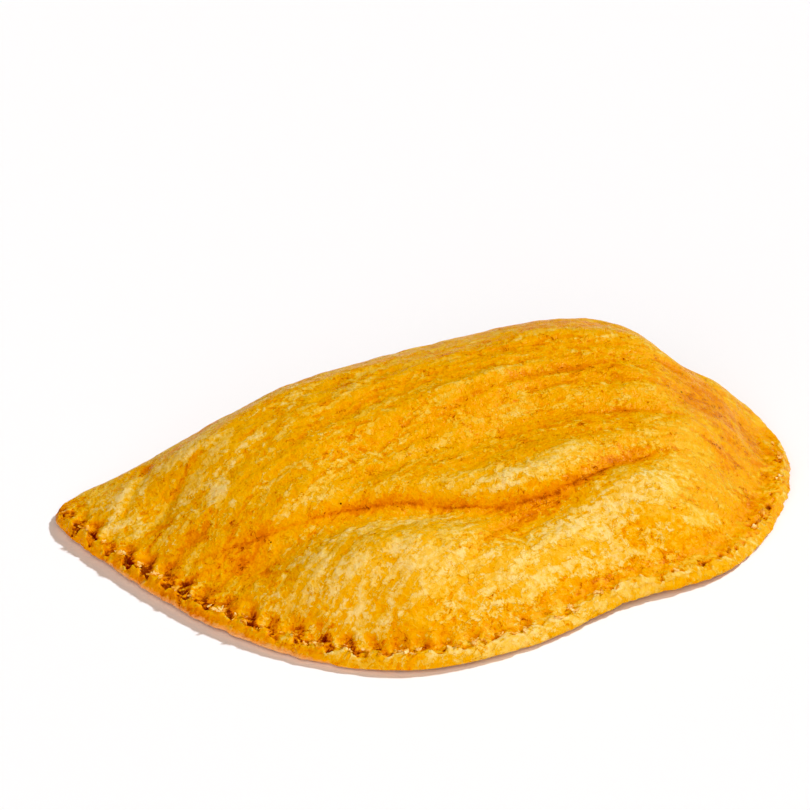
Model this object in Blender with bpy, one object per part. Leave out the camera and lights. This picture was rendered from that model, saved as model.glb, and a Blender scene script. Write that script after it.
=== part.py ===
# A whole baked Jamaican patty: a half-moon turnover of flaky pastry, lying flat on its base.
# X runs from the pointed left tip to the blunt right tip, -Y is the crimped front, +Y the folded
# back, +Z up. The origin is at the middle of the base. Metres throughout.

import random

import bmesh
import bpy
import numpy as np
from mathutils import Vector, noise

# Driving dimensions of the pastry
length = 0.160                # tip to tip
depth = 0.112                 # crimped front to folded back
base_height = 0.0165          # the body away from the edge, without its swellings
rim_height = 0.0036           # thickness of the pressed rim of two sheets
rim_width = 0.0060            # pressed flat before the body starts to rise
rim_round = 0.0012            # radius of the rim's upper and lower corners
front_rise = 0.0270           # how far in from the rim the front reaches full height
front_rise_right = 0.0190     # the same towards the right end, which is puffed up more steeply
fold_rise = 0.0150            # the same along the rounded fold
fold_equator = 0.0070         # height of the widest line of the rounded fold
fold_underside = 0.0085       # how far in the rounded fold meets the tray
corner_height = 0.0022        # of that widest line at the thin corners at both ends
left_taper = 0.0560           # length over which the body comes down to the pointed left tip
left_tip_share = 0.46         # share of the full height left at that tip
right_taper = 0.0330          # the same at the blunt right tip
right_tip_share = 0.60
bend_evening = 0.0060         # how softly the body follows the bends of the outline

# The rim's underside stands off the tray: it dries and lifts unevenly in the oven
rim_lift_mean = 0.0005
rim_lift_swing = 0.0009
rim_lift_spacing = 0.0340
rim_lift_reach = 0.0120       # how far in from the edge the underside is lifted
rim_curl = 0.0007             # the rim curls up once more at the hollow of the outline
rim_curl_place = 0.66         # share of the front's length
rim_curl_width = 0.0140

# Fork marks pressed into the rim
mark_spacing = 0.0059
mark_inset = 0.0043           # middle of a mark, in from the outer edge
mark_half_length = 0.0016     # along the edge
mark_half_width = 0.0019      # across the edge
mark_depth = 0.0017
mark_slant = 0.45             # the marks lean along the edge as they go in
mark_faint = 0.45             # share of that depth at the right end, where they were pressed less

# The mesh: stations round the edge, and rings from the edge to the middle
front_stations = 174
fold_stations = 58
middle = (0.006, 0.000)
spline_steps = 60
top_insets = (0.0004, 0.0011, 0.0021, 0.0031, 0.0042, 0.0053, 0.0066, 0.0082, 0.0102, 0.0126,
              0.0154, 0.0186)
top_steps = 20                # further rings from the last inset to the middle
base_insets = (0.0006, 0.0022, 0.0050, 0.0100)
base_steps = 4
top_halvings = (8, 27)        # the rings after which there are half the stations
base_halvings = (1, 3)

# Outline seen from above, from the left tip along the crimped front to the right tip and back
# along the fold. It is scaled to length and depth below.
outline_points = (
    (-0.0803, 0.0080), (-0.0668, -0.0140), (-0.0502, -0.0340), (-0.0312, -0.0480),
    (-0.0100, -0.0540), (0.0130, -0.0483), (0.0340, -0.0368), (0.0460, -0.0328), (0.0570, -0.0278),
    (0.0680, -0.0162), (0.0773, 0.0010), (0.0800, 0.0160), (0.0770, 0.0290), (0.0680, 0.0375),
    (0.0590, 0.0452), (0.0485, 0.0542), (0.0325, 0.0572), (0.0040, 0.0515), (-0.0310, 0.0370),
    (-0.0610, 0.0230), (-0.0760, 0.0165),
)
right_tip = 11                # its place in that list

# Swellings of the body: middle x, y, half widths along x and y, height
swellings = (
    (0.006, 0.022, 0.056, 0.026, 0.0068),     # the belly, against the fold
    (0.037, 0.042, 0.026, 0.018, 0.0040),     # its right shoulder
    (-0.004, -0.034, 0.036, 0.014, 0.0034),   # the roll in front of the long crease
    (0.042, -0.019, 0.024, 0.014, 0.0036),    # that roll's right end
    (0.064, 0.012, 0.014, 0.016, 0.0012),
    (-0.046, 0.006, 0.022, 0.014, 0.0016),
)

# Creases: points along each, half widths on its front and back sides, depth
creases = (
    (((-0.058, -0.0230), (-0.043, -0.0245), (-0.031, -0.0220), (-0.018, -0.0190), (-0.004, -0.0205),
      (0.014, -0.0220), (0.026, -0.0180), (0.036, -0.0105), (0.050, -0.0040)), 0.0080, 0.0044, 0.0050),
    (((0.000, -0.0375), (0.007, -0.0320), (0.018, -0.0240), (0.026, -0.0190)), 0.0044, 0.0040, 0.0015),
    (((0.0575, 0.0480), (0.0610, 0.0370), (0.0615, 0.0250), (0.0570, 0.0130)), 0.0046, 0.0050, 0.0030),
    (((0.006, -0.0050), (0.024, 0.0090), (0.040, 0.0080), (0.060, 0.0115)), 0.0050, 0.0040, 0.0010),
    (((0.026, 0.0410), (0.040, 0.0420), (0.054, 0.0375)), 0.0040, 0.0036, 0.0012),
    (((0.046, -0.0160), (0.052, -0.0130), (0.058, -0.0120)), 0.0044, 0.0044, 0.0010),
    (((-0.070, 0.0030), (-0.066, 0.0100), (-0.060, 0.0160)), 0.0032, 0.0032, 0.0010),
    (((-0.060, -0.0080), (-0.054, 0.0020), (-0.047, 0.0100)), 0.0036, 0.0036, 0.0009),
)

# Long wrinkles that follow the fold, and short ones that run in from the fork marks
fold_wrinkle = 0.0014
fold_wrinkle_spacing = 0.0085
fold_wrinkle_run = 0.060
fold_wrinkle_reach = 0.066
front_wrinkle = 0.0011
front_wrinkle_spacing = 0.0100
front_wrinkle_reach = 0.0240
front_wrinkle_run = 0.045
smooth_edge = 0.0040          # no crease or lump nearer the edge than this
lump = 0.0008                 # broad unevenness of the baked top
lump_size = 0.021

pastry_colour = (0.80, 0.36, 0.022, 1.0)
pastry_roughness = 0.45


def clear_scene():
    for thing in list(bpy.data.objects):
        bpy.data.objects.remove(thing)


def smooth(x):
    """0 below 0, 1 above 1, and an even curve between."""
    x = np.clip(x, 0.0, 1.0)
    return x * x * (3.0 - 2.0 * x)


def spline(points, steps, closed):
    """A Catmull-Rom curve through the points, closed on itself or open."""
    p = np.array(points, float)
    if not closed:
        p = np.vstack([2 * p[0] - p[1], p, 2 * p[-1] - p[-2]])
    u = np.linspace(0.0, 1.0, steps, endpoint=False)[:, None]
    spans = []
    for i in range(len(p) if closed else len(p) - 3):
        first = i - 1 if closed else i
        a, b, c, d = (p[(first + k) % len(p)] for k in range(4))
        curve = 2 * b + (c - a) * u + (2 * a - 5 * b + 4 * c - d) * u**2 + (3 * b - a - 3 * c + d) * u**3
        spans.append(curve / 2)
    if not closed:
        spans.append(p[-2:-1])
    return np.vstack(spans)


def scaled_outline():
    """The outline at its real length and depth, centred on the origin."""
    curve = spline(outline_points, spline_steps, closed=True)
    low, high = curve.min(0), curve.max(0)
    return (curve - (low + high) / 2) * np.array([length, depth]) / (high - low)


def arc_lengths(curve):
    """Distance along the closed curve to each of its points, with the full length last."""
    steps = np.linalg.norm(np.roll(curve, -1, axis=0) - curve, axis=1)
    return np.concatenate([[0.0], np.cumsum(steps)])


def edge_stations(along, fold_start):
    """Arc lengths of the mesh's stations, closer together on the crimped front than on the fold."""
    front = np.linspace(0.0, fold_start, front_stations, endpoint=False)
    fold = np.linspace(fold_start, along[-1], fold_stations, endpoint=False)
    return np.concatenate([front, fold])


def at_arc(curve, along, t):
    """Points of the closed curve at the arc lengths t."""
    closed = np.vstack([curve, curve[:1]])
    return np.stack([np.interp(t, along, closed[:, k]) for k in (0, 1)], axis=1)


def gap_to(points, line, step):
    """Distance of each point from a line of points, and the place in the line of the nearest one.

    Away from the line the distance is evened out over its bends, so that no ridge stands behind a corner.
    """
    gaps = np.linalg.norm(points[:, None, :] - line[None, :, :], axis=2)
    nearest = gaps.argmin(1)
    true_gap = gaps[np.arange(len(points)), nearest]
    floor_gap = np.maximum(true_gap, 0.001)
    weight = (np.exp((floor_gap[:, None] - gaps) / bend_evening) * step).sum(1)
    weight /= np.sqrt(2.0 * np.pi * floor_gap * bend_evening)
    even_gap = floor_gap - bend_evening * np.log(weight)
    share = smooth((true_gap - rim_width) / front_rise)
    return true_gap * (1.0 - share) + even_gap * share, nearest


def edge_gaps(points, outline):
    """Distances from the crimped front and from the fold, and the arc length along the front."""
    curve, along, fold_start = outline
    crimped = along[:-1] <= fold_start
    steps = np.diff(along)
    from_front, nearest = gap_to(points, curve[crimped], steps[crimped])
    from_fold, _ = gap_to(points, curve[~crimped], steps[~crimped])
    return from_front, from_fold, along[:-1][crimped][nearest]


def fold_share(from_front, from_fold):
    """0 along the crimped front and 1 along the fold, turning over evenly in between."""
    return from_front**2 / (from_front**2 + from_fold**2 + 1e-9)


def crease_depth(points, path, front_width, back_width, deep):
    """Depth of one crease: its own slope on each side, and running out at both ends."""
    nodes = spline(path, 8, closed=False)
    gaps = np.linalg.norm(points[:, None, :] - nodes[None, :, :], axis=2)
    nearest = gaps.argmin(1)
    run = np.gradient(nodes, axis=0)[nearest]
    off = points - nodes[nearest]
    behind = run[:, 0] * off[:, 1] - run[:, 1] * off[:, 0]
    behind /= np.linalg.norm(run, axis=1) * front_width
    width = front_width + (back_width - front_width) * smooth(0.5 + behind)
    place = nearest / (len(nodes) - 1)
    fade = np.sin(np.pi * (0.05 + 0.90 * place)) ** 0.6
    return deep * fade * np.exp(-((gaps.min(1) / width) ** 2))


def noise_field(coordinates, seed):
    """Smooth noise between about -1 and 1 at each row of coordinates."""
    return np.array([noise.noise(Vector((a, b, seed))) for a, b in coordinates])


def fork_marks(inset, t, fold_start):
    """Depth of the fork marks, each pressed a little differently."""
    draw = random.Random(7)
    depths = np.zeros(len(t))
    count = int(fold_start / mark_spacing)
    for i in range(count):
        middle_t = (i + 0.5) * mark_spacing + draw.uniform(-0.0006, 0.0006)
        pressed = mark_depth * draw.uniform(0.65, 1.1)
        pressed *= 1.0 - (1.0 - mark_faint) * float(smooth((middle_t / fold_start - 0.50) / 0.16))
        in_place = mark_inset + draw.uniform(-0.0003, 0.0004)
        across = (inset - in_place) / mark_half_width
        beside = (t - middle_t - mark_slant * (inset - in_place)) / mark_half_length
        depths = np.maximum(depths, pressed * np.exp(-(across**2) - beside**2))
    return depths


def tapers(points):
    """0 at the left tip and 1 past its taper, and the same for the right tip."""
    from_left = smooth((points[:, 0] + length / 2) / left_taper)
    from_right = smooth((length / 2 - points[:, 0]) / right_taper)
    return from_left, from_right


def body_height(points):
    """The full height of the puffed body, before the edges round it off."""
    height = np.full(len(points), base_height)
    for x, y, wide, deep, rise in swellings:
        height += rise * np.exp(-(((points[:, 0] - x) / wide) ** 2) - ((points[:, 1] - y) / deep) ** 2)
    from_left, from_right = tapers(points)
    height *= left_tip_share + (1.0 - left_tip_share) * from_left
    height *= right_tip_share + (1.0 - right_tip_share) * from_right
    return height


def rim_lift(t, fold_start):
    """Height of the rim's underside above the tray."""
    wave = noise_field(np.stack([t / rim_lift_spacing, np.zeros(len(t))], axis=1), 4.7)
    lift = rim_lift_mean + rim_lift_swing * np.clip(wave, -0.4, 1.0)
    lift += rim_curl * np.exp(-(((t - rim_curl_place * fold_start) / rim_curl_width) ** 2))
    return np.clip(lift, 0.0002, 0.0025)


def equator_height(points):
    """Height of the fold's widest line, down to the thin corners at both ends."""
    from_left, from_right = tapers(points)
    return corner_height + (fold_equator - corner_height) * from_left * from_right


def rise_width(t, fold_start):
    """How far in from the rim the front reaches full height, at each place along it."""
    return front_rise + (front_rise_right - front_rise) * smooth((t / fold_start - 0.42) / 0.22)


def quarter_round(x):
    """A quarter circle from 0 up to 1."""
    return np.sqrt(np.clip(1.0 - (1.0 - np.clip(x, 0.0, 1.0)) ** 2, 0.0, 1.0))


def edge_height(points, outline):
    """Height of the outer edge itself, halfway up the rim or at the fold's widest line."""
    from_front, from_fold, t = edge_gaps(points, outline)
    share = fold_share(from_front, from_fold)
    front_edge = rim_lift(t, outline[2]) + 0.45 * rim_height
    return front_edge * (1.0 - share) + equator_height(points) * share


def top_height(points, outline):
    """The top skin: rim, rise, body and rounded fold, with fork marks, creases and wrinkles."""
    from_front, from_fold, t = edge_gaps(points, outline)
    share = fold_share(from_front, from_fold)
    inset = np.minimum(from_front, from_fold)

    rim_top = (rim_lift(t, outline[2]) + rim_height) * (1.0 - share) + equator_height(points) * share
    edge = edge_height(points, outline)
    rim = edge + (rim_top - edge) * quarter_round(inset / rim_round)
    climbed = np.clip((from_front - rim_width) / rise_width(t, outline[2]), 0.0, 1.0)
    climb = np.sin(0.5 * np.pi * climbed) * quarter_round(from_fold / fold_rise)
    height = rim + (body_height(points) - rim) * climb
    height -= fork_marks(from_front, t, outline[2])

    inner = smooth((inset - smooth_edge) / 0.012)
    for path, front_width, back_width, deep in creases:
        height -= crease_depth(points, path, front_width, back_width, deep) * inner

    grain = np.stack([points[:, 0] / fold_wrinkle_run, from_fold / fold_wrinkle_spacing], axis=1)
    back = smooth((fold_wrinkle_reach - from_fold) / 0.020) * smooth((inset - 0.002) / 0.010)
    height += fold_wrinkle * noise_field(grain, 1.3) * back

    spokes = np.stack([t / front_wrinkle_spacing, from_front / front_wrinkle_run], axis=1)
    past_rim = from_front - rim_width
    reach = smooth(past_rim / rim_width) * smooth(1.0 - past_rim / front_wrinkle_reach)
    height += front_wrinkle * noise_field(spokes, 8.1) * reach * smooth(from_fold / 0.020)

    height += lump * noise_field(points / lump_size, 3.9) * inner
    return height


def base_height_at(points, outline):
    """The underside: flat on the tray, with the rim lifted and the fold rounded up."""
    from_front, from_fold, t = edge_gaps(points, outline)
    share = fold_share(from_front, from_fold)
    front_side = rim_lift(t, outline[2]) * (1.0 - smooth(from_front / rim_lift_reach))
    front_side += 0.45 * rim_height * (1.0 - quarter_round(from_front / rim_round))
    fold_side = equator_height(points) * (1.0 - quarter_round(from_fold / fold_underside))
    return front_side * (1.0 - share) + fold_side * share


def rings_of(edge, insets, steps, halvings):
    """Plan positions of the rings, from the outermost inwards.

    Each halving drops every other station of the rings that follow.
    """
    centre = np.array(middle)
    rays = centre - edge
    reach = np.linalg.norm(rays, axis=1)[:, None]
    shares = [inset / reach for inset in insets]
    last = shares[-1]
    shares += [last + (1.0 - last) * (k / steps) for k in range(1, steps)]
    rings = []
    stride = 1
    for place, share in enumerate(shares):
        if place in halvings:
            stride *= 2
        rings.append((edge + rays * share)[::stride])
    return rings


def bridge(mesh, outer, inner, upward):
    """Faces between two rings of vertices, where the inner one has as many stations or half of them."""
    ratio = len(outer) // len(inner)
    for i in range(len(inner)):
        j = (i + 1) % len(inner)
        run = [outer[(i * ratio + k) % len(outer)] for k in range(ratio + 1)]
        if ratio == 1:
            faces = [[run[0], run[1], inner[j], inner[i]]]
        else:
            faces = [[run[0], run[1], inner[i]], [run[1], inner[j], inner[i]], [run[1], run[2], inner[j]]]
        for face in faces:
            mesh.faces.new(face if upward else face[::-1])


def close_middle(mesh, ring, point, upward):
    """A fan of faces from the innermost ring to the middle."""
    for i in range(len(ring)):
        face = [ring[i], ring[(i + 1) % len(ring)], point]
        mesh.faces.new(face if upward else face[::-1])


def shell(mesh, rim, rings, heights, centre_height, upward):
    """One skin of the pastry, top or base, from the shared outer rim of vertices to its middle."""
    outer = rim
    for plan, level in zip(rings, heights):
        ring = [mesh.verts.new((x, y, z)) for (x, y), z in zip(plan, level)]
        bridge(mesh, outer, ring, upward)
        outer = ring
    close_middle(mesh, outer, mesh.verts.new((*middle, centre_height)), upward)


def pastry():
    """The whole patty as one closed mesh."""
    curve = scaled_outline()
    along = arc_lengths(curve)
    outline = (curve, along, along[right_tip * spline_steps])
    edge = at_arc(curve, along, edge_stations(along, outline[2]))
    edge_z = edge_height(edge, outline)
    centre = np.array([middle])

    top = rings_of(edge, top_insets, top_steps, top_halvings)
    base = rings_of(edge, base_insets, base_steps, base_halvings)
    top_z = [top_height(ring, outline) for ring in top]
    base_z = [base_height_at(ring, outline) for ring in base]

    mesh = bmesh.new()
    rim = [mesh.verts.new((x, y, z)) for (x, y), z in zip(edge, edge_z)]
    shell(mesh, rim, top, top_z, top_height(centre, outline)[0], upward=True)
    shell(mesh, rim, base, base_z, 0.0, upward=False)
    bmesh.ops.recalc_face_normals(mesh, faces=mesh.faces)
    data = bpy.data.meshes.new("patty")
    mesh.to_mesh(data)
    mesh.free()
    data.shade_smooth()
    patty = bpy.data.objects.new("patty", data)
    bpy.context.scene.collection.objects.link(patty)
    return patty


def baked_pastry():
    """Egg-yellow baked crust with a slight gloss."""
    material = bpy.data.materials.new("baked_pastry")
    material.use_nodes = True
    shader = material.node_tree.nodes["Principled BSDF"]
    shader.inputs["Base Color"].default_value = pastry_colour
    shader.inputs["Roughness"].default_value = pastry_roughness
    shader.inputs["Metallic"].default_value = 0.0
    return material


def main():
    clear_scene()
    patty = pastry()
    patty.data.materials.append(baked_pastry())


main()
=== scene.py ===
# The looks of a whole baked Jamaican patty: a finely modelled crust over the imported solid, thin
# flakes and crumbs along the crimped rim, and the toasted colours of egg-yellow shortcrust.
# X runs from the pointed left tip to the blunt right tip, -Y is the crimped front. Metres.
import math
import random

import bmesh
import bpy
import numpy as np
from mathutils import Matrix, Vector, kdtree, noise


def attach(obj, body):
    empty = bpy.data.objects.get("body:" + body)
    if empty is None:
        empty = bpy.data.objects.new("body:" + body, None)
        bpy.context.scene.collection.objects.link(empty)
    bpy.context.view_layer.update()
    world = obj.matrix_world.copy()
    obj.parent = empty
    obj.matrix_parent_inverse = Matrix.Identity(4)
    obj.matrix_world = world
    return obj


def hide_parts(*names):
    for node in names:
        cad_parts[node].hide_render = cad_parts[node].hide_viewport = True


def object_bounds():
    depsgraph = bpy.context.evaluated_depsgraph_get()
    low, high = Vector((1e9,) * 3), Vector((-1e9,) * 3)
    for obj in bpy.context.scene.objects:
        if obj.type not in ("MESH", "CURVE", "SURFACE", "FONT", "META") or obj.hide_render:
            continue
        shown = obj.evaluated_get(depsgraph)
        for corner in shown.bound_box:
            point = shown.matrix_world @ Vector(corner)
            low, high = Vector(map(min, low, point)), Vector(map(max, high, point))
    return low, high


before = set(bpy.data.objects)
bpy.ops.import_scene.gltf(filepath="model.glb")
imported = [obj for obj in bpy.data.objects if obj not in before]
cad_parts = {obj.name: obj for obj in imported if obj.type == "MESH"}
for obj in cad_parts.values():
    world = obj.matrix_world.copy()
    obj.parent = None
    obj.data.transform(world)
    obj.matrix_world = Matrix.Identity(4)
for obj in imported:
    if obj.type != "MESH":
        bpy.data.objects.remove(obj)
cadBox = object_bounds()
bpy.ops.object.select_all(action="DESELECT")
print("frame loaded")

mm = 0.001


def hexColour(code):
    # sRGB hex to the linear colour that shaders and lights take
    parts = [int(code[i:i + 2], 16) / 255 for i in (1, 3, 5)]
    return [c / 12.92 if c <= 0.04045 else ((c + 0.055) / 1.055) ** 2.4 for c in parts] + [1.0]


def addNode(tree, kind, inputs=(), **settings):
    # a node with its settings, and each input given a value or linked to another node's output
    node = tree.nodes.new(kind)
    for name, value in settings.items():
        setattr(node, name, value)
    for name, value in dict(inputs).items():
        if isinstance(value, bpy.types.NodeSocket):
            tree.links.new(value, node.inputs[name])
        else:
            node.inputs[name].default_value = value
    return node


def newMaterial(name):
    material = bpy.data.materials.new(name)
    material.use_nodes = True
    tree = material.node_tree
    return material, tree, tree.nodes["Principled BSDF"]


def makeActive(piece):
    bpy.ops.object.select_all(action="DESELECT")
    piece.select_set(True)
    bpy.context.view_layer.objects.active = piece


def applyModifier(piece, kind, **settings):
    makeActive(piece)
    modifier = piece.modifiers.new(kind.lower(), kind)
    for name, value in settings.items():
        setattr(modifier, name, value)
    bpy.ops.object.modifier_apply(modifier=modifier.name)


# Camera, as it stood for the photograph, and soft studio light from the right and a little behind
shot = {
    "azimuth": -7.45,                    # degrees, 0 looks along +Y
    "elevation": 30.6,
    "distance": 0.690,
    "target": (0.0002, 0.0482, 0.0),
    "lens": 135.3,                       # mm, on a frame 36 mm wide
}
studio = {
    "keyFrom": (0.66, 0.25, 0.71),       # direction that the key light comes from
    "keyStrength": 2.90,
    "keyAngle": 5,                       # degrees across, which softens the shadow's edge
    "fillFrom": (-0.27, -0.78, 0.54),    # broad, weaker light from the camera's side
    "fillStrength": 2.14,
    "fillAngle": 75,
    "skyStrength": 0.11,
    "blackLevel": 0.014,                 # the photograph's deep, contrasty blacks
    "floorColour": "#FEFEFE",
    "keyColour": "#ECF6FF",
    "fillColour": "#FFEBDE",             # warm, so that shadows are brownish as in the photograph
    "skyColour": "#FFEAD8",
}


def turnTo(direction):
    return Vector(direction).to_track_quat("-Z", "Y").to_euler()


def makeCamera():
    around = math.radians(shot["azimuth"])
    up = math.radians(shot["elevation"])
    back = Vector((math.sin(around) * math.cos(up), -math.cos(around) * math.cos(up), math.sin(up)))
    camera = bpy.data.objects.new("camera", bpy.data.cameras.new("camera"))
    camera.data.lens = shot["lens"]
    camera.data.sensor_width = 36
    camera.data.clip_start = 0.01
    camera.location = Vector(shot["target"]) + back * shot["distance"]
    camera.rotation_euler = turnTo(-back)
    bpy.context.scene.collection.objects.link(camera)
    bpy.context.scene.camera = camera


def makeStudio():
    scene = bpy.context.scene
    scene.view_settings.view_transform = "Standard"
    scene.view_settings.use_curve_mapping = True
    scene.view_settings.curve_mapping.black_level = (studio["blackLevel"],) * 3
    scene.view_settings.curve_mapping.update()
    for name in ("key", "fill"):
        light = bpy.data.objects.new(name, bpy.data.lights.new(name, "SUN"))
        light.data.energy = studio[name + "Strength"]
        light.data.angle = math.radians(studio[name + "Angle"])
        light.data.color = hexColour(studio[name + "Colour"])[:3]
        light.rotation_euler = turnTo(-Vector(studio[name + "From"]))
        scene.collection.objects.link(light)

    scene.world = bpy.data.worlds.new("sky")
    scene.world.use_nodes = True
    background = scene.world.node_tree.nodes["Background"]
    background.inputs["Color"].default_value = hexColour(studio["skyColour"])
    background.inputs["Strength"].default_value = studio["skyStrength"]

    bpy.ops.mesh.primitive_plane_add(size=6.0, location=(0, 0, cadBox[0].z - 0.00002))
    floor = bpy.context.object
    floor.name = "floor"
    material, tree, shader = newMaterial("matt_white_sweep")   # painted studio sweep, no gloss
    shader.inputs["Base Color"].default_value = hexColour(studio["floorColour"])
    shader.inputs["Roughness"].default_value = 0.9
    shader.inputs["Specular IOR Level"].default_value = 0.1
    floor.data.materials.append(material)


makeCamera()
makeStudio()
print("camera and studio ready")


# The crust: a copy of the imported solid, made of quads and subdivided until it can hold fine relief
crust = {
    "subdivisions": 2,                   # faces of 0.3 mm at the rim and 0.6 mm on top
    "flowTurn": 31,                      # degrees from X that the dough's grain runs, at x = 0
    "flowCurve": 0.5,                    # degrees that it turns back over each mm to the right
    "streakHeight": 0.44 * mm,           # long folds of the dough, along the grain
    "streakSpacing": 6.5 * mm,
    "streakRun": 38 * mm,
    "fineStreakHeight": 0.17 * mm,
    "fineStreakSpacing": 2.4 * mm,
    "fineStreakRun": 16 * mm,
    "lumpHeight": 0.34 * mm,             # broad, shallow blisters
    "lumpSize": 7 * mm,
    "grainHeight": 0.08 * mm,            # the small rough grain of baked shortcrust
    "grainSize": 1.5 * mm,
    "edgeRagged": 0.45 * mm,             # how far the rim's edge wanders in and out
    "rimBulge": 0.30 * mm,
    "rimFullest": 1.2 * mm,
    "foldWrinkle": 0.36 * mm,            # thin wrinkles along the fold's right end
    "foldWrinkleSpacing": 2.1 * mm,
    "foldWrinkleRun": 24 * mm,
    "reliefUnit": 0.35 * mm,             # a bump of this height counts as fully raised
    "evenings": 60,                      # rounds of smoothing that leave the crust without bumps
    "swells": ((-70, 9, 8, 0.9), (61, 36, 6, -1.3), (54, 40, 5, 0.3)),   # x, y, half size, height
}
forkMarks = {
    "spacing": 5.9 * mm,
    "inset": 4.3 * mm,                   # middle of a mark, in from the outer edge
    "leftCloser": 1.25 * mm,             # and nearer to it toward the pointed left tip
    "leftShare": 0.42,                   # share of the front over which that fades
    "rightCloser": 0.9 * mm,
    "rightFrom": 0.62,                   # from here on the dough only tore in short, thin cracks
    "halfLength": 1.55 * mm,             # along the edge
    "halfWidth": 2.1 * mm,               # across the edge
    "depth": 1.15 * mm,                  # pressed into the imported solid's own, softer marks
    "slant": -0.75,                      # the prongs were held askew
    "warp": 0.95 * mm,                   # how far the torn dough strays from a clean oval
    "faintFrom": 0.36,                   # share of the front from which they were pressed less
    "faint": 0.30,
    "crackWidth": 0.17,                  # of the mark's own size: the tear round its outer end
    "crackDepth": 1.0 * mm,
    "lipHeight": 0.56 * mm,              # crumbly dough pushed up outside that tear
    "lipWidth": 0.17,
    "seamInset": 3.3 * mm,               # and a broken, wandering tear from mark to mark
    "seamWander": 0.8 * mm,
    "seamHalfWidth": 0.32 * mm,
    "wander": 0.6 * mm,                  # how unevenly the marks are spaced
    "insetWander": (-0.3 * mm, 0.4 * mm),
    "pressed": (0.65, 1.1),              # how hard each was pressed in
    "goneFrom": 0.78,                    # share of the front from which they are nearly lost
    "lipPlace": 1.45,                    # where a lip stands, in the mark's own sizes
    "roughness": 0.26 * mm,
    "highest": 0.45 * mm,                # no crumb of the dough itself stands up further
    "edgeDrop": 1.3 * mm,                # the rim is a rounded roll, lowest at its outer edge
    "edgeDropWidth": 1.9 * mm,
}
# Lines where the crust creased in the oven: points in mm, then half width, depth and how sharply
# the dough folded over along it
creaseLines = (
    (((-52, -18.6), (-44, -18.6), (-35, -18.2), (-27, -17.2), (-20, -16.3), (-10, -16.2),
      (0, -17.9), (8, -19.0), (15, -18.9), (22, -17.4), (28, -14.5), (35, -10.8), (43, -7),
      (52, -4)), 1.5, 0.85, 0.75),
    (((3, -36), (6, -31), (10, -26), (16, -22), (24, -18.5)), 1.6, 0.40, 0.35),
    (((-6, -25), (-14, -25), (-22, -29), (-27, -35)), 2.2, 0.35, 0.0),
    (((38, 30), (48, 29), (58, 24), (64, 15)), 1.8, 0.30, 0.15),
    (((56, 36), (61, 29), (65, 20), (66, 10)), 2.0, 0.22, 0.1),
    (((-67, -2), (-64, 5), (-61, 11), (-58, 17)), 1.0, 0.40, 0.25),
    (((-60, -6), (-56, 0), (-51, 6)), 1.2, 0.25, 0.2),
    (((-52, -14), (-46, -8), (-38, -3), (-28, 1)), 1.6, 0.28, 0.2),
    (((10, 26), (24, 30), (38, 31)), 1.4, 0.25, 0.3),
    (((-2, 4), (10, 12), (26, 20), (44, 22)), 1.5, 0.30, 0.25),
    (((22, 3), (34, 7), (48, 8), (62, 6)), 1.4, 0.28, 0.35),
)
# Ridges that stand up beside the creases: points in mm, half width and height in mm
ridgeLines = (
    (((-2, -13), (8, -14), (18, -13), (26, -9.5), (34, -5)), 3.0, 0.55),
    (((-26, -27), (-16, -22.5), (-6, -22), (2, -24)), 3.0, 0.35),
    (((22, -25), (32, -20), (42, -16), (52, -13)), 3.2, 0.50),
    (((-68, 2), (-65, 8), (-62, 14)), 1.8, 0.35),
    (((-12, -6), (4, 2), (20, 9), (36, 12), (52, 12)), 2.6, 0.35),
    (((4, 14), (18, 21), (34, 25)), 2.4, 0.28),
)


def pointsOf(mesh):
    flat = np.empty(len(mesh.vertices) * 3)
    mesh.vertices.foreach_get("co", flat)
    return flat.reshape(-1, 3)


def normalsOf(mesh):
    flat = np.empty(len(mesh.vertices) * 3)
    mesh.vertices.foreach_get("normal", flat)
    return flat.reshape(-1, 3)


def setPoints(mesh, points):
    mesh.vertices.foreach_set("co", points.ravel())
    mesh.update()


def smoothStep(x):
    x = np.clip(x, 0.0, 1.0)
    return x * x * (3 - 2 * x)


def rising(x, start, over):
    # 0 up to start, then smoothly up to 1 over a distance
    return smoothStep((x - start) / over)


def falling(x, end, over):
    # 0 from end on, and smoothly up to 1 over a distance before it
    return smoothStep((end - x) / over)


def bell(x, half):
    return np.exp(-((x / half) ** 2))


def fractalAt(points, size, octaves=2, seed=0.0):
    # smooth noise, mostly between -1 and 1, with features about as large as size
    shift = Vector((seed * 3.1, seed * 7.7, seed * 1.9))
    scale = 1.0 / size
    values = [noise.fractal(Vector(p) * scale + shift, 0.9, 2.1, octaves) for p in points.tolist()]
    return np.array(values)


def smoothPath(points, spacing=0.4 * mm):
    # an open Catmull-Rom curve through points in mm, as close-set points in metres
    p = np.array(points, float) * mm
    p = np.vstack([2 * p[0] - p[1], p, 2 * p[-1] - p[-2]])
    run = []
    for a, b, c, d in zip(p, p[1:], p[2:], p[3:]):
        steps = max(2, int(np.linalg.norm(c - b) / spacing))
        u = np.linspace(0, 1, steps, endpoint=False)[:, None]
        curve = 2 * b + (c - a) * u + (2 * a - 5 * b + 4 * c - d) * u**2
        run.append((curve + (3 * b - a - 3 * c + d) * u**3) / 2)
    return np.vstack(run + [p[-2:-1]])


def nearestOn(path, points):
    # distance in plan of each point from the path, and the nearest place along it
    tree = kdtree.KDTree(len(path))
    for i, (x, y) in enumerate(path):
        tree.insert((x, y, 0), i)
    tree.balance()
    found = [tree.find((x, y, 0)) for x, y in points[:, :2].tolist()]
    return np.array([f[2] for f in found]), np.array([f[1] for f in found])


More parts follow.
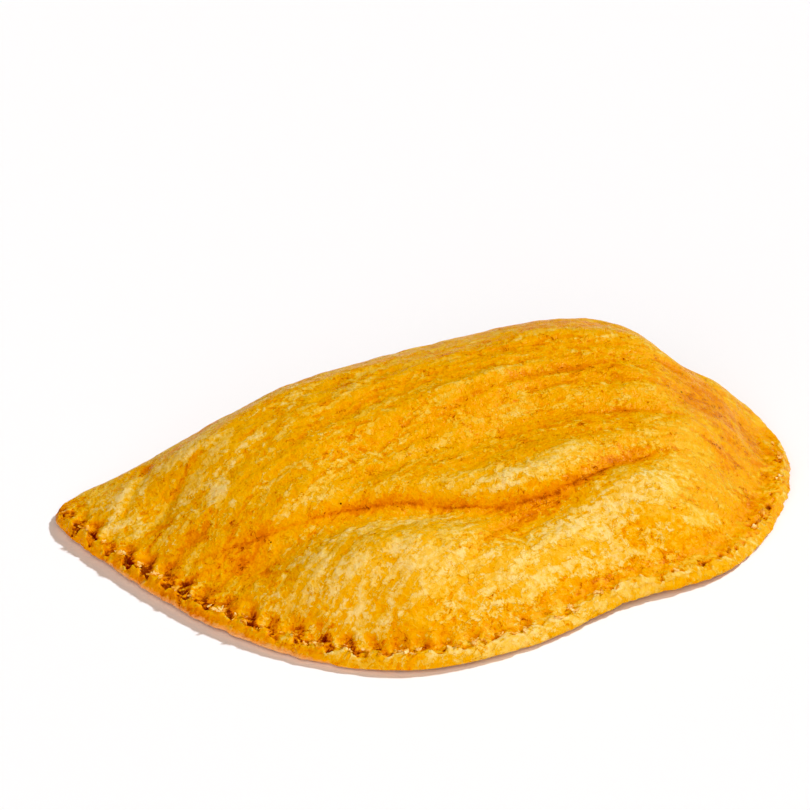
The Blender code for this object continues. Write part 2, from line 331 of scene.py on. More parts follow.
def lineShape(points, path, halfWidth):
    # 1 on the line, fading over its half width and at its two ends; the distance to its left; and
    # the fading at its ends alone
    gap, place = nearestOn(path, points)
    fade = np.clip(np.sin(np.pi * (0.03 + 0.94 * place / (len(path) - 1))), 0, 1) ** 0.6
    heading = np.gradient(path, axis=0)[place]
    offset = points[:, :2] - path[place]
    side = np.sign(heading[:, 0] * offset[:, 1] - heading[:, 1] * offset[:, 0])
    return fade * bell(gap, halfWidth), gap * side, fade


def copySolid():
    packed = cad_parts["patty"]
    piece = bpy.data.objects.new("patty_crust", packed.data.copy())
    bpy.context.scene.collection.objects.link(piece)
    piece.data.materials.clear()
    makeActive(piece)
    bpy.ops.object.mode_set(mode="EDIT")
    bpy.ops.mesh.select_all(action="SELECT")
    bpy.ops.mesh.remove_doubles(threshold=0.000002)
    bpy.ops.mesh.tris_convert_to_quads(face_threshold=math.radians(50),
                                       shape_threshold=math.radians(60))
    bpy.ops.object.mode_set(mode="OBJECT")
    return piece


def rimOf(piece):
    # the outline seen from above, anticlockwise from the left tip: where top and underside meet
    shape = bmesh.new()
    shape.from_mesh(piece.data)
    shape.normal_update()
    corners = set()
    for edge in shape.edges:
        if len(edge.link_faces) == 2:
            first, second = (face.normal.z for face in edge.link_faces)
            if (first > 0) != (second > 0):
                corners.update(vertex.co.to_tuple() for vertex in edge.verts)
    shape.free()
    ring = np.array(sorted(corners, key=lambda c: math.atan2(c[1], c[0] - 6 * mm)))[:, :2]
    return np.roll(ring, -int(ring[:, 0].argmin()), axis=0)


def resampled(line, spacing):
    gaps = np.linalg.norm(np.diff(line, axis=0), axis=1)
    along = np.concatenate([[0], np.cumsum(gaps)])
    even = np.linspace(0, along[-1], int(along[-1] / spacing))
    return np.stack([np.interp(even, along, line[:, k]) for k in (0, 1)], axis=1), even


def measureCrust(piece, rim):
    # where each point lies against the crimped front, the fold and the dough's grain
    tipPlace = int(rim[:, 0].argmax())
    front, frontAlong = resampled(rim[:tipPlace + 1], 0.2 * mm)
    fold, foldAlong = resampled(np.vstack([rim[tipPlace:], rim[:1]]), 0.2 * mm)
    points = pointsOf(piece.data)
    normals = normalsOf(piece.data)
    fromFront, frontPlace = nearestOn(front, points)
    fromFold, foldPlace = nearestOn(fold, points)
    # the grain's lines curve with x, and grainAcross tells one from the next
    turn = math.radians(crust["flowTurn"]) - math.radians(crust["flowCurve"]) * points[:, 0] / mm
    turn = np.clip(turn, -0.6, 1.15)
    curve = math.radians(crust["flowCurve"]) / mm
    grainAcross = (points[:, 1] - np.log(np.cos(turn)) / curve) * np.cos(turn)
    return {
        "points": points,
        "normals": normals,
        "fromFront": fromFront,
        "alongFront": frontAlong[frontPlace],
        "frontLength": frontAlong[-1],
        "fromFold": fromFold,
        "alongFold": foldAlong[foldPlace],
        "inset": np.minimum(fromFront, fromFold),
        "top": rising(normals[:, 2], 0.05, 0.35),
        "flow": np.stack([points[:, 0], grainAcross, np.zeros(len(points))], axis=1),
    }


def forkPits(at):
    # each mark as a slanted pit down the side, torn round its outer end, with a crumbly lip there
    draw = random.Random(7)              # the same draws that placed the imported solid's marks
    points = at["points"]
    pits, cracks, lips = (np.zeros(len(points)) for _ in range(3))
    warp = forkMarks["warp"]
    inward = at["fromFront"] + warp * fractalAt(points, 2.0 * mm, 4, 4.4)
    along = at["alongFront"] + warp * fractalAt(points, 2.0 * mm, 4, 9.2)
    crumbs = fractalAt(points, 1.3 * mm, 3, 7.3)
    share = at["alongFront"] / at["frontLength"]
    leftward = 1 - rising(share, 0, forkMarks["leftShare"])
    rightward = rising(share, forkMarks["rightFrom"], 0.12)
    inward = inward + forkMarks["leftCloser"] * leftward + forkMarks["rightCloser"] * rightward
    for i in range(int(at["frontLength"] / forkMarks["spacing"])):
        middle = (i + 0.5) * forkMarks["spacing"]
        middle += draw.uniform(-forkMarks["wander"], forkMarks["wander"])
        pressed = draw.uniform(*forkMarks["pressed"])
        inset = forkMarks["inset"] + draw.uniform(*forkMarks["insetWander"])
        # the further right, the shallower, rounder and less torn
        where = middle / at["frontLength"]
        faintness = min(1, max(0, (where - forkMarks["faintFrom"]) / 0.16))
        torn = pressed * (1 - 0.5 * faintness)
        pressed *= 1 - (1 - forkMarks["faint"]) * faintness
        pressed *= 1 - 0.85 * min(1, max(0, (where - forkMarks["goneFrom"]) / 0.12))
        across = inward - inset + 0.5 * faintness * mm
        across /= forkMarks["halfWidth"] * (1 - 0.3 * faintness)
        beside = along - middle - forkMarks["slant"] * (inward - inset)
        beside /= forkMarks["halfLength"] * (1 + 0.25 * faintness)
        away = np.sqrt(across**2 + beside**2)
        outer = falling(across, 0.35, 0.7)
        pits = np.maximum(pits, pressed * np.exp(-(away**1.9)))
        cracks = np.maximum(cracks, torn * outer * bell(away - 1, forkMarks["crackWidth"]))
        lip = bell(away - forkMarks["lipPlace"], forkMarks["lipWidth"])
        lips = np.maximum(lips, torn * outer * lip)

    # the tear from mark to mark, and the lip outside it
    edgeways = np.stack([at["alongFront"], 0 * along, 0 * along], axis=1)
    seamLine = forkMarks["seamWander"] * fractalAt(edgeways, 4 * mm, 3, 2.9)
    seamGap = inward - forkMarks["seamInset"] - seamLine
    broken = rising(fractalAt(edgeways, 3.5 * mm, 2, 6.1), -0.15, 0.4)
    seamHere = 0.15 + 0.65 * falling(share, 0.38, 0.10) + 0.55 * rightward
    cracks = np.maximum(cracks, seamHere * broken * bell(seamGap, forkMarks["seamHalfWidth"]))
    beyond = (seamHere - 0.3 * rightward) * bell(seamGap / mm + 0.8, 0.36)
    lips = np.maximum(lips, beyond) * (1 - np.clip(1.4 * pits, 0, 0.8))
    cracks = cracks * smoothStep(0.6 + 0.9 * crumbs)
    lips = lips * smoothStep(0.42 + 1.5 * crumbs)
    return pits, cracks, lips, seamHere


def neighbourSmoothed(mesh, values, rounds):
    # each point's value evened out with its neighbours', again and again
    ends = np.empty(len(mesh.edges) * 2, int)
    mesh.edges.foreach_get("vertices", ends)
    a, b = ends.reshape(-1, 2).T
    count = np.bincount(a, minlength=len(values)) + np.bincount(b, minlength=len(values))
    for _ in range(rounds):
        total = np.bincount(a, values[b], len(values)) + np.bincount(b, values[a], len(values))
        values = 0.5 * values + 0.5 * total / count
    return values


def doughFolds(at):
    # long folds along the grain and finer ones, shallow blisters, and wrinkles beside the fold
    points, flow = at["points"], at["flow"]
    inner = rising(at["inset"], 6 * mm, 8 * mm)
    away = rising(at["inset"], 1 * mm, 3 * mm)

    def stretched(run, spacing):
        return np.stack([flow[:, 0] / run, flow[:, 1] / spacing, flow[:, 2]], 1)

    coarse = stretched(crust["streakRun"], crust["streakSpacing"])
    fine = stretched(crust["fineStreakRun"], crust["fineStreakSpacing"])
    lift = crust["streakHeight"] * fractalAt(coarse, 1.0, 2, 2.3) * inner
    lift += crust["fineStreakHeight"] * fractalAt(fine, 1.0, 2, 5.1) * away
    lift += crust["lumpHeight"] * fractalAt(points, crust["lumpSize"], 2, 8.4) * away
    for x, y, half, height in crust["swells"]:
        gap = np.hypot(points[:, 0] - x * mm, points[:, 1] - y * mm)
        lift += height * mm * bell(gap, half * mm)

    lengthways = at["alongFold"] / crust["foldWrinkleRun"]
    crossways = at["fromFold"] / crust["foldWrinkleSpacing"]
    foldwise = np.stack([lengthways, crossways, 0 * lift], axis=1)
    wrinkled = rising(points[:, 0], 22 * mm, 20 * mm) * np.exp(-((at["fromFold"] / (13 * mm)) ** 4))
    return lift + crust["foldWrinkle"] * wrinkled * fractalAt(foldwise, 1.0, 2, 4.9)


def creasesAndRidges(points):
    # the lines above as relief, and for the colours how near each point is to them
    lift, crease, ridge, foldSharp = (np.zeros(len(points)) for _ in range(4))
    foldGap = np.full(len(points), 1.0)  # distance to the nearest sharp fold
    for path, halfWidth, depth, sharp in creaseLines:
        shape, gap, fade = lineShape(points, smoothPath(path), halfWidth * mm)
        lift -= depth * mm * shape
        crease = np.maximum(crease, shape * min(1.0, depth / 0.6))
        nearer = np.abs(gap) < np.abs(foldGap)
        foldGap = np.where(nearer, gap, foldGap)
        foldSharp = np.where(nearer, fade * sharp, foldSharp)
    for path, halfWidth, height in ridgeLines:
        shape = lineShape(points, smoothPath(path), halfWidth * mm)[0]
        lift += height * mm * shape
        ridge = np.maximum(ridge, shape)
    return lift, {"crease": crease, "ridge": ridge, "foldGap": foldGap / mm, "foldSharp": foldSharp}


def pressedRelief(mesh, at, pits, cracks, lips, seamHere):
    # the marks' pits, tears and lips, rough all round, and never higher than a crumb
    band = bell(at["fromFront"] - forkMarks["inset"] + 0.6 * mm, 3.2 * mm)
    rough = fractalAt(at["points"], 1.1 * mm, 3, 3.7)
    rough *= np.clip(band * (0.25 + 0.75 * seamHere) + pits, 0, 1.2)
    pressed = forkMarks["lipHeight"] * lips - forkMarks["crackDepth"] * cracks
    pressed += forkMarks["roughness"] * rough - forkMarks["depth"] * pits
    pressed = np.minimum(pressed, forkMarks["highest"])
    return 0.4 * pressed + 0.6 * neighbourSmoothed(mesh, pressed, 1)


def shapeCrust(piece, at):
    lift, lines = creasesAndRidges(at["points"])
    pits, cracks, lips, seamHere = forkPits(at)
    lift += doughFolds(at) + pressedRelief(piece.data, at, pits, cracks, lips, seamHere)
    points = at["points"].copy()
    drop = forkMarks["edgeDrop"] * bell(at["fromFront"], forkMarks["edgeDropWidth"])
    points[:, 2] -= drop * smoothStep(points[:, 2] / (3.8 * mm))
    points[:, 2] += lift * at["top"]

    # the small grain stands out along the surface's own normals, everywhere but underneath
    grain = fractalAt(points, crust["grainSize"], 2, 6.6)
    out = crust["grainHeight"] * grain * rising(at["normals"][:, 2], -0.7, 0.4)
    points += at["normals"] * out[:, None]

    # the rim is a soft roll, fullest at a third of its height
    sideways = at["normals"].copy()
    sideways[:, 2] = 0
    wall = falling(at["fromFront"] / mm, 1.6, 1.0)
    wall *= rising(np.hypot(*sideways[:, :2].T), 0.2, 0.3)
    full = np.clip(1 - ((points[:, 2] - crust["rimFullest"]) / (1.5 * mm)) ** 2, -1.2, 1)
    points += sideways * (crust["rimBulge"] * full * wall)[:, None]

    # and its edge wanders in and out, round the right tip too
    tip = bell(at["inset"], 1.6 * mm) * rising(points[:, 0], 58 * mm, 14 * mm)
    edge = np.maximum(bell(at["fromFront"], 1.6 * mm), tip)
    around = at["alongFront"] + at["alongFold"]
    edgewise = np.stack([around, points[:, 2] * 1.5, 0 * around], 1)
    wander = fractalAt(edgewise, 2.6 * mm, 3, 1.2) - 0.35
    points += sideways * (crust["edgeRagged"] * wander * edge)[:, None]
    points[:, 2] = np.maximum(points[:, 2], cadBox[0].z)
    setPoints(piece.data, points)
    top = at["top"]
    return {"pit": pits * top, "crack": cracks * top, "lip": lips * top} | lines


def storeValue(mesh, name, values, kind="FLOAT"):
    layer = mesh.attributes.new(name, kind, "POINT")
    slot = "vector" if kind == "FLOAT_VECTOR" else "value"
    layer.data.foreach_set(slot, values.astype(np.float32).ravel())


# Broad places painted deeper or paler: some baked so, and some are painted shade toward the right
# end and the back, where the key light falls strongest, and painted light on the left body, which
# it reaches less. Middle x and y and half sizes in mm, turn in degrees, and how far along the
# scale of colours, where less is deeper
bakedAndShadedPlaces = (
    (-48, 2, 26, 17, -30, 0.05), (-12, -40, 24, 12, 10, 0.11), (26, -27, 22, 9, 25, 0.10),
    (30, -32.5, 7, 3.5, 10, 0.05), (14, -12, 16, 4.5, 8, 0.07), (-66, 4, 3, 11, -22, 0.08),
    (-66, 2, 12, 10, 0, 0.05), (58, 22, 9, 8, 0, -0.04), (12, -26, 11, 4, 50, -0.09),
    (28, -14.5, 15, 3.2, 28, -0.10), (-10, -22, 14, 4.5, 0, 0.08), (-44, -16, 15, 5, -15, -0.06),
    (66, 14, 9, 13, 0, -0.05), (64, 23, 12, 7, -60, 0.01), (34, 18, 34, 16, 12, -0.055),
    (68, -2, 12, 16, 0, -0.07), (40, 44, 30, 8, -10, -0.07), (-54, -8, 7, 3, -40, -0.06),
    (-38, -28, 3, 12, 20, -0.05), (-28, -30, 3, 12, 25, 0.07), (-46, -4, 1.6, 3.2, -35, 0.16),
    (-43, -9, 1.2, 1.6, 0, 0.14), (-34, -20, 9, 2.5, 40, 0.10),
)


def toneShifts(at, share):
    total = np.zeros(len(at["points"]))
    for x, y, halfX, halfY, turn, amount in bakedAndShadedPlaces:
        c, s = math.cos(math.radians(turn)), math.sin(math.radians(turn))
        dx, dy = at["points"][:, 0] - x * mm, at["points"][:, 1] - y * mm
        u, v = (c * dx + s * dy) / (halfX * mm), (c * dy - s * dx) / (halfY * mm)
        total += amount * np.exp(-(u**2 + v**2) ** 1.3)
    # the rim baked deeper toward the left tip, and in the middle its outer face is painted paler,
    # painted light on a face that the key light misses
    front = bell(at["fromFront"], 5 * mm)
    left = 1 - rising(share, 0.25, 0.3)
    rimFace = bell(at["fromFront"], 2.6 * mm) * (1 - rising(share, 0.6, 0.2))
    return total - 0.06 * front * left + 0.04 * front * (1 - left) + (0.09 - 0.15 * left) * rimFace


def colourMarks(piece, at):
    # what the colours need to know of a place beside its creases and fork marks
    points = pointsOf(piece.data)
    share = at["alongFront"] / at["frontLength"]
    height = points[:, 2] - neighbourSmoothed(piece.data, points[:, 2].copy(), crust["evenings"])
    # dry, floury dough at the rim's foot, higher up where the left part was rolled under
    reach = 1.1 + 1.1 * rising(share, 0.06, 0.07) * (1 - rising(share, 0.30, 0.10))
    foot = 0.9 * bell(points[:, 2], reach * mm)
    # the mottling is strongest toward the left tip and along the rim, but not on its outer face
    toLeft = 1 - rising(points[:, 0], -55 * mm, 60 * mm)
    toFront = bell(at["fromFront"], 30 * mm) * (1 - toLeft)
    toTip = rising(points[:, 0], 38 * mm, 22 * mm)
    rimFace = bell(at["fromFront"], 3 * mm) * (1 - toTip) * (1 - 0.7 * toLeft)
    return {
        # height against the smoothed crust: the colours make rises paler and hollows deeper, partly
        # drying and partly painted light and shade
        "relief": np.clip(height / crust["reliefUnit"], -1, 1),
        "underside": rising(-at["normals"][:, 2], 0.45, 0.4),
        "footing": foot * falling(at["inset"] / (1.5 * mm), 1.2, 0.6),
        "toneShift": toneShifts(at, share),
        "mottle": 0.84 + 0.12 * toLeft + 0.28 * toFront - 0.30 * toTip - 0.35 * rimFace,
    }


def makeCrust():
    piece = copySolid()
    rim = rimOf(piece)
    rounds = crust["subdivisions"]
    applyModifier(piece, "SUBSURF", levels=rounds, render_levels=rounds)
    at = measureCrust(piece, rim)
    print("crust measured:", len(at["points"]), "points, rim", len(rim), "corners, front",
          round(at["frontLength"] / mm), "mm")
    marks = shapeCrust(piece, at)
    for name, values in (marks | colourMarks(piece, at)).items():
        storeValue(piece.data, name, values)
    storeValue(piece.data, "grainFlow", at["flow"], "FLOAT_VECTOR")
    piece.data.shade_smooth()
    return piece, at


crustPiece, crustAt = makeCrust()
print("crust shaped")


# Shortcrust pastry coloured with turmeric and egg, baked and thinly greased: satin, never glassy.
# Its colour is one scale, from burnt brown through orange and gold to the pale tan of dry, lifted
# layers, and everything that browned or dried a place moves it along that scale, as do the painted
# shade and light in hollows, creases, fork marks and some broad places.
pastry = {
    "scale": ((0.00, "#7E3406"), (0.14, "#B0560A"), (0.30, "#DC7A0E"), (0.44, "#EA9213"),
              (0.56, "#F0A317"), (0.68, "#F0B01D"), (0.80, "#F0BB37"), (0.90, "#F2C759"),
              (1.00, "#F5D581")),
    "usual": 0.662,                      # where most of the crust is on the scale
    "dark": "#3E1C08",                   # specks of burnt spice
    "edge": "#EFB27C",                   # floury dough at the rim's foot
    "under": "#B0651A",                  # the toasted base
    "glint": "#FFE48C",                  # fat and egg tint the small reflections
    # sizes of the patterns
    "bandSize": 15 * mm,                 # broad bands along the dough's grain
    "skinSize": 3.1 * mm,                # patches of dry, lifted skin
    "veinSize": 3.2 * mm,                # toasted veins
    "crackSize": 2.4 * mm,               # hairline cracks
    "islandSize": 2.6 * mm,              # islands of bright egg glaze
    "speckleSize": 1.5 * mm,
    "poreSize": 0.5 * mm,
    "blisterSize": 1.7 * mm,
    "spiceSpacing": 8.5 * mm,
    "spiceSize": 0.34 * mm,
    "crumbSpacing": 3.6 * mm,
    "crumbSize": 0.30 * mm,
    "longGrain": (0.36, 1, 1),           # patterns are drawn out along the dough's grain
    "shortGrain": (0.6, 1, 1),
    # where a layer begins and where it is full, on the noise that lays it out
    "dryFrom": (0.823, 0.850),
    "dryRim": (0.84, 0.89, 0.93),        # a toasted line round the dry patches
    "toastedFrom": (0.274, 0.334),
    "glazedFrom": (-0.11, -0.04),
    "poresFrom": (0.37, 0.27),
    "cracksFrom": (0.55, 0.62),
    "crackWidth": 0.016,
    "foldLineWidth": 0.50,               # mm, half across the sharp bottom of a crease
    # how far each layer raises the ground that dries first and toasts last, how far each moves the
    # mottling, and how far each layer or mark moves the colour along the scale. Where relief, ridge,
    # crease and toneShift raise or lower it, the colour is partly the dough's own and partly painted
    # light and shade: paler rises, deeper hollows and creases
    "ground": {"bands": 0.24, "relief": 0.03, "ridge": 0.05, "crease": -0.12, "toneShift": 0.75},
    "mottling": {"bands": 0.22, "skin": 0.16, "veins": -0.12, "fine": 0.95, "dry": 0.18,
                 "toasted": -0.13, "glaze": 0.05, "rimmed": -0.06},
    "mottlingMiddle": -0.203,            # brings the mottling's mean back to none
    "moves": {"relief": 0.07, "ridge": 0.05, "crease": -0.06, "lip": 0.40, "pitTone": -0.68,
              "crack": -0.68, "toneShift": 0.9, "crumbs": -0.22, "foldLine": -0.22,
              "underside": -0.20, "pinholes": -0.16, "cracks": -0.30},
    # relief finer than the mesh, in mm
    "bumps": {"pores": 0.12, "speckle": 0.34, "blisters": 0.38, "islands": 0.20, "dry": 0.06,
              "foldLine": -0.22, "pinholes": -0.10, "cracks": -0.12},
    "roughness": 0.27,                   # of the greasy gold
    "dullest": 0.36,                     # and how much rougher dry layers and pores are
    "specular": 0.13,
    "glow": 0.14,                        # light that seeps through the thin, fatty dough
    "glowReach": (1.6 * mm, 0.8 * mm, 0.3 * mm),
}


def crustMaterial():
    material, tree, shader = newMaterial("baked_shortcrust")
    place = addNode(tree, "ShaderNodeTexCoord").outputs["Object"]
    layer = {}                           # what each point's marks say, and the patterns drawn here
    for name in ("pit", "crack", "lip", "crease", "ridge", "relief", "underside", "footing",
                 "toneShift", "foldGap", "foldSharp", "mottle"):
        layer[name] = addNode(tree, "ShaderNodeAttribute", attribute_name=name).outputs["Fac"]
    flow = addNode(tree, "ShaderNodeAttribute", attribute_name="grainFlow").outputs["Vector"]
    longGrain, shortGrain = (
        addNode(tree, "ShaderNodeMapping", {"Vector": flow, "Scale": pastry[name]}).outputs[0]
        for name in ("longGrain", "shortGrain"))

    def noiseOf(vector, size, detail, rough=0.6, twist=0.0):
        inputs = {"Vector": vector, "Scale": 1 / size, "Detail": detail, "Roughness": rough,
                  "Distortion": twist}
        return addNode(tree, "ShaderNodeTexNoise", inputs).outputs["Fac"]

    def sumOf(*terms, start=0.0):
        # terms are (socket, factor) pairs, added together
        total = start
        for socket, factor in terms:
            total = addNode(tree, "ShaderNodeMath", {0: socket, 1: factor, 2: total},
                            operation="MULTIPLY_ADD").outputs[0]
        return total

    def weighed(table, start=0.0):
        # the layers that a table names, each times its number there, added together
        return sumOf(*((layer[name], factor) for name, factor in table.items()), start=start)

    def mathOf(operation, *inputs):
        node = addNode(tree, "ShaderNodeMath", dict(enumerate(inputs)), operation=operation)
        return node.outputs[0]

    def productOf(first, second):
        return mathOf("MULTIPLY", first, second)

    def between(socket, low, high, top=1.0):
        # 0 below low and top above high, or the other way round where low is the larger
        return addNode(tree, "ShaderNodeMapRange", {0: socket, 1: low, 2: high, 3: 0.0, 4: top},
                       interpolation_type="SMOOTHSTEP").outputs[0]

    layer["bands"] = noiseOf(longGrain, pastry["bandSize"], 3, 0.6)
    layer["skin"] = noiseOf(longGrain, pastry["skinSize"], 4, 0.62, 0.5)
    layer["veins"] = noiseOf(longGrain, pastry["veinSize"], 3, 0.65, 0.4)
    layer["islands"] = islands = noiseOf(place, pastry["islandSize"], 3, 0.75, 0.3)
    layer["speckle"] = speckle = noiseOf(place, pastry["speckleSize"], 3, 0.75, 0.3)
    layer["pores"] = pores = noiseOf(place, pastry["poreSize"], 2, 0.5)
    layer["blisters"] = noiseOf(place, pastry["blisterSize"], 1.5, 0.5, 0.2)

    # dry, pale skin with crisp edges; toasted veins; and a bright yellow glaze between them
    ground = weighed(pastry["ground"])
    dryWish = sumOf((ground, 0.9), (layer["skin"], 1.0), (speckle, 0.35))
    rimStart, rimMost, rimEnd = pastry["dryRim"]
    layer["dry"] = dry = between(dryWish, *pastry["dryFrom"])
    layer["rimmed"] = productOf(between(dryWish, rimStart, rimMost),
                                between(dryWish, rimEnd, rimMost))
    toastedWish = sumOf((ground, -0.8), (layer["veins"], 1.0), (speckle, -0.35))
    layer["toasted"] = between(toastedWish, *pastry["toastedFrom"])
    layer["glaze"] = between(sumOf((islands, -0.8), (speckle, 0.6)), *pastry["glazedFrom"])

    # pinholes where steam came through, and dark specks inside the fork marks, partly toasted dough
    # and partly painted shade in the pits
    steamed = between(noiseOf(place, 4 * mm, 3, 0.7), 0.42, 0.58)
    layer["pinholes"] = productOf(between(pores, *pastry["poresFrom"]), steamed)
    toastedAndShadedPit = between(sumOf((speckle, 1.0), (pores, 0.5)), 1.02, 0.66)
    layer["pitTone"] = productOf(layer["pit"], toastedAndShadedPit)

    # hairline cracks: the contours of a noise, where a second one lets them show
    contour = noiseOf(place, pastry["crackSize"], 3, 0.6, 0.8)
    nearContour = mathOf("COMPARE", contour, 0.5, pastry["crackWidth"])
    cracked = between(noiseOf(place, 3.4 * mm, 3, 0.7), *pastry["cracksFrom"])
    layer["cracks"] = productOf(nearContour, cracked)

    # the sharp bottom of a crease, a little wavy and broken; its darker colour is painted shade in
    # the crease, over its pressed-in bump
    waver = noiseOf(place, 3.5 * mm, 4, 0.7)
    fromFold = mathOf("ABSOLUTE", sumOf((waver, 1.6), (layer["foldGap"], 1.0), start=-0.8))
    unbroken = between(noiseOf(place, 7 * mm, 3, 0.7), 0.34, 0.52)
    foldHere = productOf(unbroken, layer["foldSharp"])
    layer["foldLine"] = productOf(between(fromFold, pastry["foldLineWidth"], 0.02), foldHere)

    def dotsOf(spacing, size, share):
        # a dot in some of a coarse set of cells
        cells = addNode(tree, "ShaderNodeTexVoronoi", {"Vector": place, "Scale": 1 / spacing})
        near = between(cells.outputs["Distance"], size / spacing, 0.55 * size / spacing)
        picked = addNode(tree, "ShaderNodeSeparateColor", {0: cells.outputs["Color"]}).outputs[0]
        return productOf(near, between(picked, 1 - share, 1.01 - share))

    spice = dotsOf(pastry["spiceSpacing"], pastry["spiceSize"], 0.55)
    layer["crumbs"] = dotsOf(pastry["crumbSpacing"], pastry["crumbSize"], 0.40)

    # fine speckle gathers in some places and leaves others, such as creases, smooth
    patches = between(noiseOf(shortGrain, 7 * mm, 2, 0.6), 0.42, 0.60)
    gathered = sumOf((patches, 0.75), start=0.40)
    evened = sumOf((layer["crease"], -0.65), start=1.0)
    centred = sumOf((speckle, 1.0), start=-0.5)
    layer["fine"] = productOf(productOf(centred, gathered), evened)

    mottling = weighed(pastry["mottling"], start=pastry["mottlingMiddle"])
    wish = weighed(pastry["moves"], start=sumOf((mottling, layer["mottle"]), start=pastry["usual"]))
    scale = addNode(tree, "ShaderNodeValToRGB", {"Fac": wish})
    stops = scale.color_ramp.elements
    for index, (at, code) in enumerate(pastry["scale"]):
        stop = stops[index] if index < 2 else stops.new(at)
        stop.position = at
        stop.color = hexColour(code)
    colour = scale.outputs["Color"]
    toastedUnder = between(sumOf((layer["underside"], 1.0), (islands, 0.8)), 1.25, 1.60, 0.6)
    footed = between(sumOf((layer["footing"], 1.0), (speckle, 1.0), start=-0.5), 0.22, 0.72, 0.85)
    for name, mask in (("dark", spice), ("edge", footed), ("under", toastedUnder)):
        colour = addNode(tree, "ShaderNodeMix", {0: mask, 6: colour, 7: hexColour(pastry[name])},
                         data_type="RGBA").outputs[2]
    tree.links.new(colour, shader.inputs["Base Color"])

    # dry layers and pores are dull, and the greasy gold between them has a soft shine
    dull = between(sumOf((pores, 0.5), (islands, 0.6), (dry, 0.08)), 0.46, 0.70, pastry["dullest"])
    tree.links.new(sumOf((dull, 1.0), start=pastry["roughness"]), shader.inputs["Roughness"])

    heights = weighed(pastry["bumps"])
    bump = addNode(tree, "ShaderNodeBump", {"Height": heights, "Strength": 1.0, "Distance": mm})
    tree.links.new(bump.outputs[0], shader.inputs["Normal"])
    shader.inputs["Specular IOR Level"].default_value = pastry["specular"]
    shader.inputs["Specular Tint"].default_value = hexColour(pastry["glint"])
    shader.inputs["Subsurface Weight"].default_value = pastry["glow"]
    shader.inputs["Subsurface Radius"].default_value = pastry["glowReach"]
    shader.inputs["Subsurface Scale"].default_value = 1.0
    return material


crustPiece.data.materials.append(crustMaterial())
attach(crustPiece, "root")
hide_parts("patty")
print("crust finished")


# Flakes: thin, torn scales of dry dough, broken up where the fork pressed the two layers together
flakes = {
    "count": 300,
    "kinds": 10,
    "size": (0.7 * mm, 1.9 * mm),
    "smaller": (0.25, 0.6),              # a quarter of them are this much smaller
    "narrow": (0.35, 0.8),               # width as a share of the length
    "torn": (0.55, 1.25),                # how far corners stray from a circle
    "curl": 0.20,                        # height of the curl, as a share of the length too
    "uneven": 0.07,
    "thickness": 0.16,
    "sunk": 0.03,                        # how deep they sit
    "tilt": (-10, 15),                   # degrees that they stand off the crust
    "clearOfEdge": 2.0 * mm,
    "onLip": 0.35,                       # only where a lip stands up at least this much
    "facingUp": 0.3,
    "mottleSize": 1.6 * mm,
    "scale": ((0.36, "#CE7E14"), (0.50, "#F4B02C"), (0.62, "#FFDD8C")),  # burnt, gold, pale
}


def flakeKind(number):
    draw = random.Random(40 + number)
    bpy.ops.mesh.primitive_circle_add(vertices=draw.choice((7, 8, 9)), radius=0.5,
                                      fill_type="TRIFAN")
    kind = bpy.context.object
    narrow = draw.uniform(*flakes["narrow"])
    for vertex in kind.data.vertices:
        torn = draw.uniform(*flakes["torn"])
        vertex.co.x *= torn
        vertex.co.y *= torn * narrow
        bend = flakes["curl"] * (4 * vertex.co.x**2 - 0.5 * vertex.co.y)
        vertex.co.z = bend + draw.uniform(-flakes["uneven"], flakes["uneven"])
    applyModifier(kind, "SOLIDIFY", thickness=flakes["thickness"], offset=0.0)
    applyModifier(kind, "BEVEL", width=0.02, segments=1)
    kind.data.shade_smooth()
    kind.data.set_sharp_from_angle(angle=math.radians(40))
    return kind


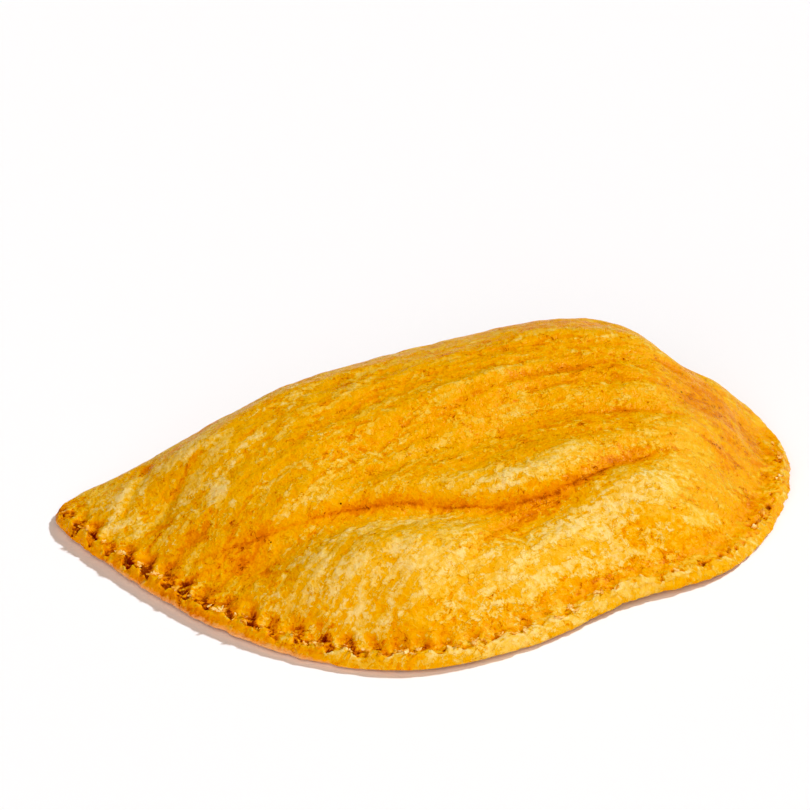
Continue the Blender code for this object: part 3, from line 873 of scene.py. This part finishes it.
def flakeMaterial():
    # the same dough, dry and thin, so it is paler and duller than the crust
    material, tree, shader = newMaterial("dry_flaked_shortcrust")
    place = addNode(tree, "ShaderNodeTexCoord").outputs["Object"]
    inputs = {"Vector": place, "Scale": 1 / flakes["mottleSize"], "Detail": 3}
    mottle = addNode(tree, "ShaderNodeTexNoise", inputs)
    scale = addNode(tree, "ShaderNodeValToRGB", {"Fac": mottle.outputs["Fac"]})
    stops = scale.color_ramp.elements
    stops.new(0.52)
    for stop, (at, code) in zip(stops, flakes["scale"]):
        stop.position = at
        stop.color = hexColour(code)
    tree.links.new(scale.outputs["Color"], shader.inputs["Base Color"])
    shader.inputs["Roughness"].default_value = 0.42
    shader.inputs["Specular IOR Level"].default_value = 0.35
    return material


def makeFlakes():
    # scattered over the crumbly lips, more of them where the fork went in deepest
    draw = random.Random(11)
    lips = np.empty(len(crustPiece.data.vertices), np.float32)
    crustPiece.data.attributes["lip"].data.foreach_get("value", lips)
    points, normals = pointsOf(crustPiece.data), normalsOf(crustPiece.data)
    inner = crustAt["inset"] > flakes["clearOfEdge"]
    places = np.nonzero((lips > flakes["onLip"]) & (normals[:, 2] > flakes["facingUp"]) & inner)[0]
    kinds = [flakeKind(i) for i in range(flakes["kinds"])]
    smallShare, smallSize = flakes["smaller"]
    pieces = []
    for _ in range(flakes["count"]):
        at = int(places[draw.randrange(len(places))])
        normal = Vector(normals[at])
        size = draw.uniform(*flakes["size"])
        size *= 1.0 if draw.random() < 1 - smallShare else smallSize
        spin = Matrix.Rotation(draw.uniform(0, 2 * math.pi), 4, "Z")
        tilt = Matrix.Rotation(math.radians(draw.uniform(*flakes["tilt"])), 4, "X")
        stand = normal.to_track_quat("Z", "Y").to_matrix().to_4x4()
        piece = kinds[draw.randrange(len(kinds))].copy()
        piece.data = piece.data.copy()
        sit = Matrix.Translation(Vector(points[at]) - normal * size * flakes["sunk"])
        piece.data.transform(sit @ stand @ spin @ tilt @ Matrix.Scale(size, 4))
        bpy.context.scene.collection.objects.link(piece)
        pieces.append(piece)
    for kind in kinds:
        bpy.data.objects.remove(kind)
    bpy.ops.object.select_all(action="DESELECT")
    for piece in pieces:
        piece.select_set(True)
    whole = bpy.context.view_layer.objects.active = pieces[0]
    bpy.ops.object.join()
    whole.name = "rim_flakes"
    whole.data.materials.append(flakeMaterial())
    return whole


flakePiece = makeFlakes()
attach(flakePiece, "root")
print("flakes scattered")
